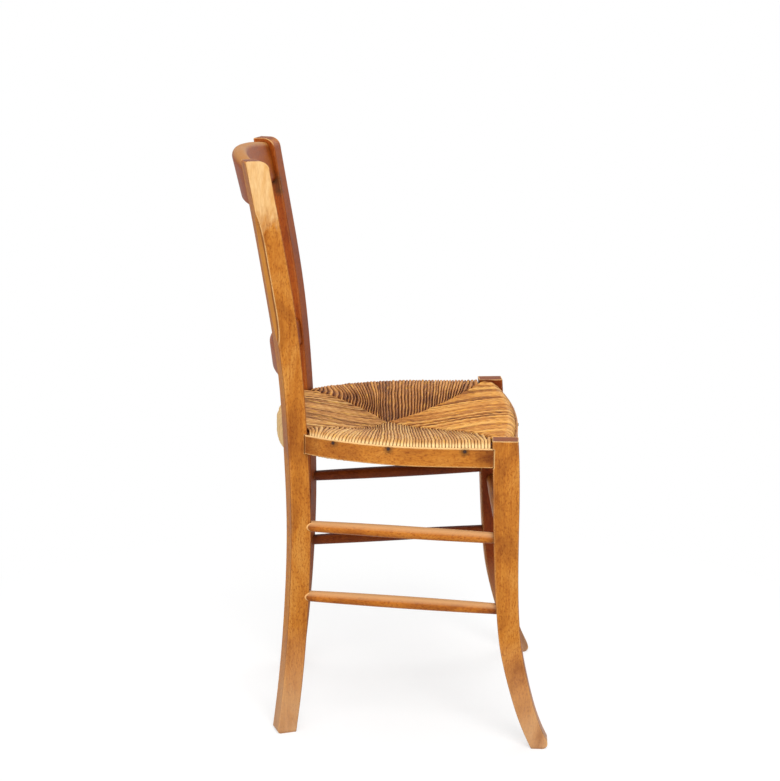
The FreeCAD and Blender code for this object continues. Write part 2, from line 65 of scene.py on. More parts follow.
# Colour, nodes and small helpers
def srgb(hex_code):
    """The three sRGB values of a hex colour, as a colour property's default."""
    return tuple(int(hex_code[i:i + 2], 16) / 255 for i in (1, 3, 5))


def linear(hex_code):
    """Linear RGBA from an sRGB hex colour."""
    return [c / 12.92 if c <= 0.04045 else ((c + 0.055) / 1.055) ** 2.4 for c in srgb(hex_code)] + [1.0]


def picked(colour):
    """Linear RGBA from a colour property, which holds sRGB values."""
    return linear("#" + "".join(f"{round(255 * c):02x}" for c in colour))


def clamp(value):
    return min(max(value, 0), 1)


def add_node(tree, kind, stops=(), **settings):
    """Adds a node.

    in_NAME or in_NUMBER sets an input, or links it to a socket or to a node's first output. stops
    are a colour ramp's places and linear colours. Anything else is a setting.
    """
    node = tree.nodes.new("ShaderNode" + kind)
    for key, value in settings.items():
        if not key.startswith("in_"):
            setattr(node, key, value)
    for key, value in settings.items():
        if not key.startswith("in_"):
            continue
        place = key[3:]
        socket = node.inputs[int(place) if place.isdigit() else place.replace("_", " ")]
        if isinstance(value, bpy.types.Node):
            value = next(output for output in value.outputs if output.enabled)
        if isinstance(value, bpy.types.NodeSocket):
            tree.links.new(value, socket)
        else:
            socket.default_value = value
    for _ in stops[2:]:
        node.color_ramp.elements.new(0.5)
    for element, (place, colour) in zip(node.color_ramp.elements if stops else (), stops):
        element.position = place
        element.color = colour
    return node


# Settings of a Mix node that lays one colour over another, and of one that multiplies it, for stains and for
# painted shade
LAID = {"data_type": "RGBA"}
MULTIPLIED = {"data_type": "RGBA", "blend_type": "MULTIPLY"}


def new_material(name):
    """A material with an empty tree, and add_node for that tree."""
    material = bpy.data.materials.new(name)
    material.use_nodes = True
    material.node_tree.nodes.clear()
    return material, partial(add_node, material.node_tree)


def finish_piece(piece, material, nodes):
    """Gives a new piece its material and its place in the frame."""
    piece.data.materials.clear()
    piece.data.materials.append(material)
    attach(piece, "root")
    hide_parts(*nodes)


def dress(node_names, material):
    """Gives CAD nodes a material."""
    for name in node_names:
        mesh = NODES[name].data
        mesh.materials.clear()
        mesh.materials.append(material)


def node_span(name, axis):
    """Where a node starts and ends along an axis."""
    low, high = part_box(name)
    return low[axis], high[axis]


# Beech: the sizes of its figure across and along the grain, in millimetres
GRAIN_AXES = {"X": 0, "Y": 1, "Z": 2}
CLOUD = (40, 95)
GROWTH_LINE = (4.5, 160)
SPECK = (2.4, 4.2)
# Real fibres are finer, but these are the finest that still show
FIBRE = (0.9, 9)
RAGGED_EDGE = (5, 16)
HAND_SMEAR = (9, 40)
# A cell across and along the grain, and the radius and rarity of the flecks in such cells
RAY_FLECKS = (2.3, 4.2, 0.30, 0.62)
DIRT_PITS = (7.0, 11.0, 0.17, 0.45)
FLECK_EDGE = 0.10
# Depth behind a post's outer face, in metres, as these times |x|, y and 1
POST_FACE = (-0.9466, 0.3223, 0.09585)
# The way that a post's stopped chamfer faces, as shares of outward and backward
CHAMFER_WAY = (0.66, 0.75)
# Heights between which a post's top changes from varnish to bare wood
BARE_FROM, BARE_TO = 0.790, 0.822
SCUFFED_BELOW = 0.17
CORNER_SHADE_AND_DIRT_REACH = 9 * MM
ARRIS_WIDTH = 2.8 * MM
# Where a halo fades out, in times its own outer radius
HALO_FADE = 1.3


def varnished_beech(name, along, look, worn_top=False, dark_ends=None, stains_and_shade=(), inner=None,
                    tint="#FFFFFF", end_tint="#A98B74", top_dust_and_sheen=None):
    """Steamed European beech under an old worn satin varnish.

    It shows honey-coloured wood with faint growth lines, short dark ray flecks, amber where the
    varnish is thick, painted shade and dirt in the corners, and pale dry wood with a painted
    highlight where arrises have lost their varnish.
    """
    material, add = new_material(name)
    coords = add("TexCoord")
    place = coords.outputs["Object"]
    x, y, z = add("SeparateXYZ", in_Vector=place).outputs
    facing_x, facing_y, facing_z = add("SeparateXYZ", in_Vector=coords.outputs["Normal"]).outputs
    # Both halves of the chair are alike, so the pattern's left and right are folded together
    reach_x = add("Math", operation="ABSOLUTE", in_0=x)
    outward = add("Math", operation="MULTIPLY", in_0=facing_x, in_1=add("Math", operation="SIGN", in_0=x))
    axis = GRAIN_AXES[along]

    def grain_scale(size_across, size_along):
        """The scale at which a pattern's features have these sizes."""
        scale = [1 / (size_across * MM)] * 3
        scale[axis] = 1 / (size_along * MM)
        return scale

    # Broad amber and honey clouds
    cloud = add("TexNoise", in_Vector=add("Mapping", in_Vector=place, in_Scale=grain_scale(*CLOUD)),
                in_Scale=1.0, in_Detail=4.0, in_Roughness=0.6, in_Distortion=0.5)
    colour = add("ValToRGB", in_Fac=cloud, stops=(
        (0.32, picked(look.amber)), (0.52, picked(look.honey)), (0.72, picked(look.straw))))
    # Growth lines, faint as beech's are
    growth = add("TexNoise", in_Vector=add("Mapping", in_Vector=place, in_Scale=grain_scale(*GROWTH_LINE)),
                 in_Scale=1.0, in_Detail=4.0, in_Roughness=0.6, in_Distortion=0.2)
    growth_lines = add("ValToRGB", in_Fac=growth, stops=(
        (0.34, linear("#D8B48E")), (0.52, linear("#FFFFFF")), (0.70, linear("#FFF6E4"))))
    colour = add("Mix", in_0=0.35, in_6=colour, in_7=growth_lines, **MULTIPLIED)
    # Crazed varnish and filled pores
    speck = add("TexNoise", in_Vector=add("Mapping", in_Vector=place, in_Scale=grain_scale(*SPECK)),
                in_Scale=1.0, in_Detail=2.5, in_Roughness=0.65)
    crazing = add("ValToRGB", in_Fac=speck, stops=(
        (0.33, linear("#AE7C4A")), (0.46, linear("#F4E6D4")), (0.56, linear("#FFFFFF")),
        (0.70, linear("#FFF3DA"))))
    colour = add("Mix", in_0=0.6, in_6=colour, in_7=crazing, **MULTIPLIED)
    fibre = add("TexNoise", in_Vector=add("Mapping", in_Vector=place, in_Scale=grain_scale(*FIBRE)),
                in_Scale=1.0, in_Detail=3.0)
    fibres = add("ValToRGB", in_Fac=fibre, stops=((0.32, linear("#CFA677")), (0.60, linear("#FFFFFF"))))
    colour = add("Mix", in_0=0.45, in_6=colour, in_7=fibres, **MULTIPLIED)
    # Ray flecks 1 mm by 2 mm and sparser dirt-filled pits, of random sizes in their cells
    flecks = []
    for size_across, size_along, radius, rarity in (RAY_FLECKS, DIRT_PITS):
        cells = add("TexVoronoi", in_Scale=1.0, in_Vector=add(
            "Mapping", in_Vector=place, in_Scale=grain_scale(size_across, size_along)))
        draw = add("SeparateColor", in_0=cells.outputs["Color"])
        size = add("MapRange", in_Value=draw, in_1=rarity, in_2=1.0, in_3=0.0, in_4=radius)
        inside = add("Math", operation="SUBTRACT", in_0=size, in_1=cells.outputs["Distance"])
        flecks.append(add("MapRange", in_Value=inside, in_1=0.0, in_2=FLECK_EDGE, in_3=0.0, in_4=look.flecks))
    flecks = add("Math", operation="MAXIMUM", in_0=flecks[0], in_1=flecks[1])
    colour = add("Mix", in_0=flecks, in_6=colour, in_7=linear("#7A4118"), **LAID)
    # Darker where an upright faces the middle of the chair, and browner at its front; on the front legs the
    # inner darkening is painted shade from the seat above
    if inner:
        inwards = add("MapRange", in_Value=outward, in_1=-0.2, in_2=-0.8)
        colour = add("Mix", in_0=inwards, in_6=colour, in_7=linear(inner), **MULTIPLIED)
        forwards = add("MapRange", in_Value=facing_y, in_1=-0.45, in_2=-0.9)
        colour = add("Mix", in_0=forwards, in_6=colour, in_7=linear("#CBA67A"), **MULTIPLIED)
    if worn_top:
        # The stopped chamfer mixed towards gold: painted light on a face turned away from the key lamp
        backward = add("Math", operation="MULTIPLY", in_0=facing_y, in_1=CHAMFER_WAY[1])
        chamfer = add("Math", operation="MULTIPLY_ADD", in_0=outward, in_1=CHAMFER_WAY[0], in_2=backward)
        chamfer = add("MapRange", in_Value=chamfer, in_1=0.955, in_2=0.985)
        colour = add("Mix", in_0=add("Math", operation="MULTIPLY", in_0=chamfer, in_1=0.6),
                     in_6=colour, in_7=linear("#CC8A38"), **LAID)
        # A darker line along the chamfer, beside the post's outer face
        depth = add("Math", operation="MULTIPLY_ADD", in_0=reach_x, in_1=POST_FACE[0], in_2=POST_FACE[2])
        depth = add("Math", operation="MULTIPLY_ADD", in_0=y, in_1=POST_FACE[1], in_2=depth)
        depth = add("Math", operation="MULTIPLY_ADD", in_0=cloud, in_1=3 * MM, in_2=depth)
        chamfer_dark_line = add("Math", operation="MULTIPLY", in_0=chamfer, in_1=add(
            "MapRange", in_Value=depth, in_1=6.2 * MM, in_2=4.4 * MM))
        colour = add("Mix", in_0=add("Math", operation="MULTIPLY", in_0=chamfer_dark_line, in_1=0.7),
                     in_6=colour, in_7=linear("#8A5528"), **MULTIPLIED)
        # Handled wood at the top of a post, rubbed bare and pale
        ragged = add("TexNoise", in_Vector=add("Mapping", in_Vector=place, in_Scale=grain_scale(*RAGGED_EDGE)),
                     in_Scale=1.0, in_Detail=4.0)
        height = add("Math", operation="MULTIPLY_ADD", in_0=ragged, in_1=0.06, in_2=z)
        rubbed = add("Math", operation="MULTIPLY",
                     in_0=add("MapRange", in_Value=height, in_1=BARE_FROM, in_2=BARE_TO),
                     in_1=add("MapRange", in_Value=outward, in_1=0.72, in_2=0.85))
        smear = add("TexNoise", in_Vector=add("Mapping", in_Vector=place, in_Scale=grain_scale(*HAND_SMEAR)),
                    in_Scale=1.0, in_Detail=3.0)
        bare = add("ValToRGB", in_Fac=smear, stops=((0.36, linear("#D9A766")), (0.58, picked(look.bare))))
        bare = add("Mix", in_0=0.35, in_6=bare, in_7=fibres, **MULTIPLIED)
        colour = add("Mix", in_0=add("Math", operation="MULTIPLY", in_0=rubbed, in_1=0.93),
                     in_6=colour, in_7=bare, **LAID)
    # Varnish scuffed off towards the floor
    if inner:
        scuff = add("Math", operation="MULTIPLY",
                    in_0=add("MapRange", in_Value=z, in_1=SCUFFED_BELOW, in_2=0.0),
                    in_1=add("MapRange", in_Value=cloud, in_1=0.3, in_2=0.6, in_3=0.35, in_4=0.75))
        colour = add("Mix", in_0=scuff, in_6=colour, in_7=linear("#C9A078"), **LAID)
    # Dirt that gathers at both ends of a piece
    if dark_ends:
        low, high, reach = dark_ends
        half = (high - low) / 2
        away = add("Math", operation="SUBTRACT", in_0=(x, y, z)[axis], in_1=(low + high) / 2)
        away = add("Math", operation="ABSOLUTE", in_0=away)
        blotch = add("TexNoise", in_Vector=place, in_Scale=45.0, in_Detail=3.0)
        away = add("Math", operation="MULTIPLY_ADD", in_0=blotch, in_1=reach, in_2=away)
        ends = add("MapRange", in_Value=away, in_1=half - 0.5 * reach, in_2=half + 0.6 * reach,
                   in_3=0.0, in_4=0.8)
        colour = add("Mix", in_0=ends, in_6=colour, in_7=linear("#9C7B68"), **MULTIPLIED)
    # End grain and tops, which hold dirt and dust
    upward = add("MapRange", in_Value=facing_z, in_1=0.75, in_2=0.95)
    colour = add("Mix", in_0=upward, in_6=colour, in_7=linear(end_tint), **MULTIPLIED)
    # Upward faces laid over with another colour: dust, and on the crest a painted sheen
    if top_dust_and_sheen:
        dust_and_sheen = add("MapRange", in_Value=facing_z, in_1=0.15, in_2=0.8)
        colour = add("Mix", in_0=add("Math", operation="MULTIPLY", in_0=dust_and_sheen, in_1=0.85),
                     in_6=colour, in_7=linear(top_dust_and_sheen), **LAID)
    # Rust-black halos round the nails, and painted shade in the crest's joints with the posts
    folded = add("CombineXYZ", in_X=reach_x, in_Y=y, in_Z=z)
    for spot, inside, outside in stains_and_shade:
        gap = add("VectorMath", operation="DISTANCE", in_0=folded, in_1=spot).outputs["Value"]
        gap = add("Math", operation="MULTIPLY_ADD", in_0=speck, in_1=0.5 * outside, in_2=gap)
        halo = add("MapRange", in_Value=gap, in_1=inside, in_2=HALO_FADE * outside, in_3=0.85, in_4=0.0)
        colour = add("Mix", in_0=halo, in_6=colour, in_7=linear("#45290F"), **LAID)
    # Corners darkened by how enclosed they are: painted shade, and dirt
    open_sky = add("AmbientOcclusion", samples=8, in_Distance=CORNER_SHADE_AND_DIRT_REACH).outputs["AO"]
    corner_shade_and_dirt = add("MapRange", in_Value=open_sky, in_1=0.75, in_2=0.25, in_3=0.0, in_4=0.75)
    colour = add("Mix", in_0=corner_shade_and_dirt, in_6=colour, in_7=linear("#6B4024"), **MULTIPLIED)
    # Arrises painted pale, as worn wood and a painted highlight, found by how far a bevel of that width would
    # turn the surface
    bevel = add("Bevel", samples=8, in_Radius=ARRIS_WIDTH)
    turn = add("VectorMath", operation="DOT_PRODUCT", in_0=bevel,
               in_1=add("NewGeometry").outputs["Normal"]).outputs["Value"]
    patchy = add("TexNoise", in_Vector=place, in_Scale=60.0, in_Detail=3.0)
    edge = add("Math", operation="MULTIPLY",
               in_0=add("MapRange", in_Value=turn, in_1=0.995, in_2=0.95),
               in_1=add("MapRange", in_Value=patchy, in_1=0.33, in_2=0.52, in_3=0.35, in_4=1.0))
    edge = add("Math", operation="MULTIPLY", in_0=edge,
               in_1=add("MapRange", in_Value=open_sky, in_1=0.6, in_2=0.9))
    colour = add("Mix", in_0=edge, in_6=colour, in_7=picked(look.arris), **LAID)
    colour = add("Mix", in_0=1.0, in_6=colour, in_7=linear(tint), **MULTIPLIED)
    dull = add("MapRange", in_Value=cloud, in_1=0.3, in_2=0.7, in_3=0.42, in_4=0.60)
    bump = add("Bump", in_Strength=0.25, in_Distance=0.35 * MM,
               in_Height=add("Math", operation="SUBTRACT", in_0=fibre, in_1=flecks))
    shader = add("BsdfPrincipled", in_Base_Color=colour, in_Roughness=dull, in_Normal=bump,
                 in_IOR=1.48, in_Specular_IOR_Level=0.16)
    add("OutputMaterial", in_Surface=shader)
    return material


# Rush: the length of one turn of its leaves, and the fineness of the stains over many strands
TWIST_LENGTH = 16 * MM
STAINS_PER_METRE = 17.0


def wound_rush(name, look, tone_shift, tint, contrast):
    """Twisted freshwater bulrush, dried and handled for decades.

    Each strand is a twist of leaves: straw to olive-brown, dark in the grooves, dull on top and
    pale straw where it turns over the rail, from polish and a painted highlight.
    """
    material, add = new_material(name)
    strand = add("Attribute", attribute_name="tone").outputs["Fac"]
    groove = add("Attribute", attribute_name="groove").outputs["Fac"]
    rim = add("Attribute", attribute_name="rim").outputs["Fac"]
    wound = add("UVMap", uv_map="strands")
    across, run, _ = add("SeparateXYZ", in_Vector=wound).outputs
    # Leaves that twist round the strand
    turns = add("Math", operation="MULTIPLY", in_0=run, in_1=1 / TWIST_LENGTH)
    spiral = add("Math", operation="MULTIPLY_ADD", in_0=across, in_1=1.7, in_2=turns)
    drift = add("Math", operation="MULTIPLY", in_0=run, in_1=9.0)
    leaf = add("TexNoise", noise_dimensions="2D", in_Vector=add("CombineXYZ", in_X=spiral, in_Y=drift),
               in_Scale=2.4, in_Detail=3.0, in_Roughness=0.6)
    stain = add("TexNoise", in_Vector=add("TexCoord").outputs["Object"], in_Scale=STAINS_PER_METRE,
                in_Detail=3.0)
    mixed = add("Math", operation="MULTIPLY_ADD", in_0=strand, in_1=contrast, in_2=leaf)
    mixed = add("Math", operation="MULTIPLY_ADD", in_0=stain, in_1=0.6, in_2=mixed)
    darkest = 0.46 + 0.5 * contrast - tone_shift
    mixed = add("MapRange", in_Value=mixed, in_1=darkest, in_2=darkest + 0.66)
    colour = add("ValToRGB", in_Fac=mixed, stops=(
        (0.0, picked(look.rush_brown)), (0.34, picked(look.rush_tan)), (0.66, picked(look.rush_straw)),
        (1.0, picked(look.rush_pale))))
    # Ochre streaks where single leaves kept their colour, 15 mm to 40 mm long
    ochre = add("TexNoise", in_Vector=add("Mapping", in_Vector=wound, in_Scale=(1.3, 38.0, 1.0)),
                in_Scale=1.0, in_Detail=2.0)
    ochre = add("MapRange", in_Value=ochre, in_1=0.56, in_2=0.70, in_4=0.75)
    colour = add("Mix", in_0=ochre, in_6=colour, in_7=linear("#DDA84A"), **LAID)
    colour = add("Mix", in_0=1.0, in_6=colour, in_7=linear(tint), **MULTIPLIED)
    # Paler where it turns over a rail: polish, and a painted highlight
    polish_and_highlight = add("Math", operation="MULTIPLY", in_0=rim, in_1=0.9)
    colour = add("Mix", in_0=polish_and_highlight, in_6=colour, in_7=picked(look.rush_rim), **LAID)
    # Darker in the grooves between the strands
    groove_darkening = add("MapRange", in_Value=groove, in_1=0.12, in_2=0.9, in_4=1.0)
    colour = add("Mix", in_0=groove_darkening, in_6=colour, in_7=linear("#754A24"), **MULTIPLIED)
    fine = add("TexNoise", in_Vector=wound, in_Scale=30.0, in_Detail=2.0)
    bump = add("Bump", in_Strength=0.5, in_Distance=0.5 * MM,
               in_Height=add("Math", operation="ADD", in_0=leaf, in_1=fine))
    shader = add("BsdfPrincipled", in_Base_Color=colour, in_Roughness=0.62, in_Normal=bump,
                 in_Specular_IOR_Level=0.25)
    add("OutputMaterial", in_Surface=shader)
    return material


def old_nail_iron(name):
    """Wrought nail heads gone black-brown, with rust in their hammer marks."""
    material, add = new_material(name)
    rust = add("TexNoise", in_Vector=add("TexCoord").outputs["Object"], in_Scale=900.0, in_Detail=3.0)
    colour = add("ValToRGB", in_Fac=rust, stops=((0.40, linear("#1E1714")), (0.62, linear("#4A2C1C"))))
    bump = add("Bump", in_Strength=0.6, in_Distance=0.2 * MM, in_Height=rust)
    shader = add("BsdfPrincipled", in_Base_Color=colour, in_Roughness=0.72, in_Metallic=0.35, in_Normal=bump)
    add("OutputMaterial", in_Surface=shader)
    return material


# Rush seat, in millimetres. Both halves are alike, so its lines are given for the half at +X
RUSH_TOP = 463.5
RUSH_BOTTOM = 426.0
RUSH_OUTSET = 13.0
# Radii of its upper and lower edges
SHOULDER = 13.0
BELLY = 9.0
DISH = 21.5
MIDDLE_THICKNESS = 16.0
MIDDLE = (0.0, 4.0)
# Middle lines of the rails: three arcs, and a straight front part of the side rail
SIDE_RAIL_X = 188.129
SIDE_CENTRE = (119.327, -61.017)
SIDE_RADIUS = 307.456
FRONT_CENTRE_Y = 832.237
FRONT_RADIUS = 1007.754
BACK_CENTRE_Y = -300.988
BACK_RADIUS = 458.902
# Where the seams between panels end, and the points that bend them
LEG_SEAM = (180.478, -145.304)
POST_SEAM = (115.638, 127.567)
FRONT_SEAM_PULL = (118.0, -127.0)
REAR_SEAM_PULL = (90.0, 45.0)
# From each rail in to the bottom of the dish
WIDTHS = {"side": SIDE_RAIL_X, "front": 179.5, "back": 153.9}
# Where each panel's strands start and stop on its rail, clear of the legs and posts
SPANS = {"side": (-142.6, 119.0), "front": (-179.6, 179.6), "back": (-122.4, 122.4)}
# The side strands' ends drift to the middle by a share of their distance from it, and beyond the
# gathering points they close up to the corners
REAR_DRIFT = 0.22
MOST_REAR_DRIFT = 13.0
FRONT_DRIFT = 0.09
REAR_GATHER = 78.0
FRONT_GATHER = -122.0
# How much the side strands lean where they start, per millimetre from the middle and at most
REAR_LEAN = 0.0035
MOST_REAR_LEAN = 0.22
FRONT_LEAN = 0.0012
# From POST_NEAR, over the length of POST_REACH, they turn parallel to the post
POST_NEAR = 88
POST_REACH = 31
POST_LEAN = -0.34
# How much more the rear ones bend before the seam, from where and over what length
HOOK = 0.45
HOOK_NEAR = 15
HOOK_REACH = 50
# How much closer the strands of the front and the back lie at the corners
CROWDING = 0.02
# A strand swells and then dives under its neighbours: how far before the seam, how high and how deep
SWELL_START = 7
SWELL_HEIGHT = 0.7
DIVE_LENGTH = 4.5
DIVE_DEPTH = 3.6
# A strand as long as this, or longer, climbs back to the middle's full height underneath
FULL_CLIMB = 120
# Lines along one strand, as shares of its width
ACROSS = (0.0, 0.07, 0.22, 0.42, 0.62, 0.82, 0.94)
# A strand's roundness in widths, how far it is sunk, and how flat and over how much of the edge it is
# pressed underneath
ROUNDNESS = 0.44
SUNK = 1.8
PRESSED = 0.55
PRESSED_ROWS = 5
LOBE_LENGTH = 13
SAME_BUNDLE = 0.4
# How pale the rush is over each rail, as polish and a painted highlight, and the first rows of it at the sides
RIM_POLISH_AND_HIGHLIGHT = {"side": 1.0, "front": 0.15, "back": 0.8}
SIDE_RIM_START = (0.0, 0.0, 0.1, 0.5)


def bezier(poles, count):
    """Points along the Bezier curve with these poles."""
    t = np.linspace(0, 1, count)[:, None]
    points = [np.array(pole, float) for pole in poles]
    while len(points) > 1:
        points = [first * (1 - t) + second * t for first, second in zip(points, points[1:])]
    return points[0]


DIP = bezier([(0, 0), (0.32, 0), (0.6, 1), (1, 1)], 60)
FRONT_SEAM = bezier([MIDDLE, FRONT_SEAM_PULL, LEG_SEAM], 80)
REAR_SEAM = bezier([MIDDLE, REAR_SEAM_PULL, POST_SEAM], 80)


def rail_point(kind, along):
    """A point of a rail's middle line, and the way from it to the middle of the seat."""
    if kind == "front":
        reach = math.sqrt(FRONT_RADIUS ** 2 - along ** 2)
        return (along, FRONT_CENTRE_Y - reach), (-along / FRONT_RADIUS, reach / FRONT_RADIUS)
    if kind == "back":
        reach = math.sqrt(BACK_RADIUS ** 2 - along ** 2)
        return (along, BACK_CENTRE_Y + reach), (-along / BACK_RADIUS, -reach / BACK_RADIUS)
    beyond = along - SIDE_CENTRE[1]
    if beyond < 0:
        return (SIDE_RAIL_X, along), (-1.0, 0.0)
    reach = math.sqrt(SIDE_RADIUS ** 2 - beyond ** 2)
    return (reach - SIDE_CENTRE[0], along), (-reach / SIDE_RADIUS, -beyond / SIDE_RADIUS)


def top_height(kind, x, y):
    """How high the top of a panel lies at a point, by its distance from the rail."""
    if kind == "front":
        distance = FRONT_RADIUS - math.hypot(x, y - FRONT_CENTRE_Y)
    elif kind == "back":
        distance = BACK_RADIUS - math.hypot(x, y - BACK_CENTRE_Y)
    elif y < SIDE_CENTRE[1]:
        distance = SIDE_RAIL_X - abs(x)
    else:
        distance = SIDE_RADIUS - math.hypot(abs(x) + SIDE_CENTRE[0], y - SIDE_CENTRE[1])
    return RUSH_TOP - DISH * float(np.interp(clamp(distance / WIDTHS[kind]), DIP[:, 0], DIP[:, 1]))


def seam_point(kind, along):
    """Where the strand that starts here on the rail dives under its neighbours."""
    low, high = SPANS[kind]
    if kind != "side":
        seam = FRONT_SEAM if kind == "front" else REAR_SEAM
        share = abs(along) / high
        x = share * (1 - CROWDING * share) / (1 - CROWDING) * seam[-1, 0]
        return math.copysign(x, along), float(np.interp(x, seam[:, 0], seam[:, 1]))
    beyond = along - MIDDLE[1]
    if beyond > 0:
        seam = REAR_SEAM
        y = along - min(REAR_DRIFT * beyond, MOST_REAR_DRIFT)
        gather = clamp((along - REAR_GATHER) / (high - REAR_GATHER)) ** 2
        y += (POST_SEAM[1] - y) * gather
    else:
        # From the leg inwards, as np.interp wants rising values
        seam = FRONT_SEAM[::-1]
        y = along - FRONT_DRIFT * beyond
        gather = clamp((FRONT_GATHER - along) / (FRONT_GATHER - low)) ** 2
        y += (LEG_SEAM[1] - y) * gather
    return float(np.interp(y, seam[:, 1], seam[:, 0])), y


def strand_path(kind, along, end_along, rows):
    """One line along a strand: from the seam over the top, round the edge and back below."""
    (x, y), (nx, ny) = rail_point(kind, along)
    qx, qy = seam_point(kind, end_along)
    length = math.hypot(qx - x, qy - y)
    beside_post = 0.0
    if kind == "side":
        beyond = along - MIDDLE[1]
        beside_post = clamp((along - POST_NEAR) / POST_REACH)
        lean = min(REAR_LEAN * beyond, MOST_REAR_LEAN) if beyond > 0 else FRONT_LEAN * beyond
        lean += (POST_LEAN - lean) * beside_post
        start = np.array([-1.0, -lean]) * length
        hook = HOOK * clamp((along - HOOK_NEAR) / HOOK_REACH)
        average = (qy - y) / max(x - qx, 1e-6)
        finish = np.array([-1.0, average + hook]) * length
    else:
        start = np.array([nx, ny]) * length
        finish = np.array([qx - x, qy - y])
    t = rows["top"][:, None]
    p, q = np.array([x, y]), np.array([qx, qy])
    plan = ((2 * t ** 3 - 3 * t ** 2 + 1) * p + (t ** 3 - 2 * t ** 2 + t) * start
            + (-2 * t ** 3 + 3 * t ** 2) * q + (t ** 3 - t ** 2) * finish)
    heights = np.array([top_height(kind, px, py) for px, py in plan])
    # Both panels meet at their average height, the side panel slightly above
    if kind == "side":
        neighbour, above = "back" if qy > MIDDLE[1] else "front", 0.5
    else:
        neighbour, above = "side", -0.3
    meeting = 0.5 * (heights[0] + top_height(neighbour, qx, qy)) + above
    heights = heights + (meeting - heights[0]) * rows["top"] ** 3
    # Each strand swells a little and then dives where it goes under its neighbours
    to_seam = length * (1 - rows["top"])
    swell = SWELL_HEIGHT * np.exp(-((to_seam - SWELL_START) / DIVE_LENGTH) ** 2)
    dive = np.clip(1 - to_seam / DIVE_LENGTH, 0, 0.999)
    heights = heights + swell - DIVE_DEPTH * (1 - np.sqrt(1 - dive ** 2))
    top = [(px, py, z) for (px, py), z in zip(plan, heights)]
    # The last strands turn down beside the post and not into it
    ny *= 1 - beside_post
    edge = [(x + nx * inset, y + ny * inset, z) for inset, z in rows["edge"]]
    first = p - np.array([nx, ny]) * (RUSH_OUTSET - BELLY)
    climb = (RUSH_TOP - DISH - MIDDLE_THICKNESS - RUSH_BOTTOM) * min(length / FULL_CLIMB, 1)
    below = [(*(first + (q - first) * share), RUSH_BOTTOM + climb * (3 * share ** 2 - 2 * share ** 3))
             for share in rows["low"]]
    return np.array(top + edge + below)


def panel_rows():
    """Where the rows of a panel lie: from the seam over the top, round the edge and back below."""
    near_seam = [1.0, 0.997, 0.99, 0.98, 0.965, 0.945, 0.92]
    edge = []
    for angle in np.radians(np.linspace(12, 90, 8)):
        edge.append((SHOULDER * (1 - math.sin(angle)) - RUSH_OUTSET,
                     RUSH_TOP - SHOULDER * (1 - math.cos(angle))))
    edge += [(-RUSH_OUTSET, z) for z in np.linspace(RUSH_TOP - SHOULDER, RUSH_BOTTOM + BELLY, 7)[1:]]
    for angle in np.radians(np.linspace(15, 90, 6)):
        edge.append((BELLY * (1 - math.cos(angle)) - RUSH_OUTSET,
                     RUSH_BOTTOM + BELLY * (1 - math.sin(angle))))
    return {"top": np.concatenate([near_seam, np.linspace(0.89, 0.0, 50)]), "edge": edge,
            "low": np.linspace(0.03, 1.0, 22)}


def closed_mesh(name, grid):
    """A closed mesh from a grid of points: each column is a ring, and the end rings are capped."""
    column_count, row_count = grid.shape[:2]
    faces = []
    for c in range(column_count - 1):
        for r in range(row_count):
            after = (r + 1) % row_count
            faces.append((c * row_count + r, (c + 1) * row_count + r,
                          (c + 1) * row_count + after, c * row_count + after))
    faces.append(tuple(range(row_count)))
    faces.append(tuple((column_count - 1) * row_count + r for r in reversed(range(row_count))))
    mesh = bpy.data.meshes.new(name)
    mesh.from_pydata([tuple(point) for point in grid.reshape(-1, 3)], [], faces)
    mesh.update()
    return mesh


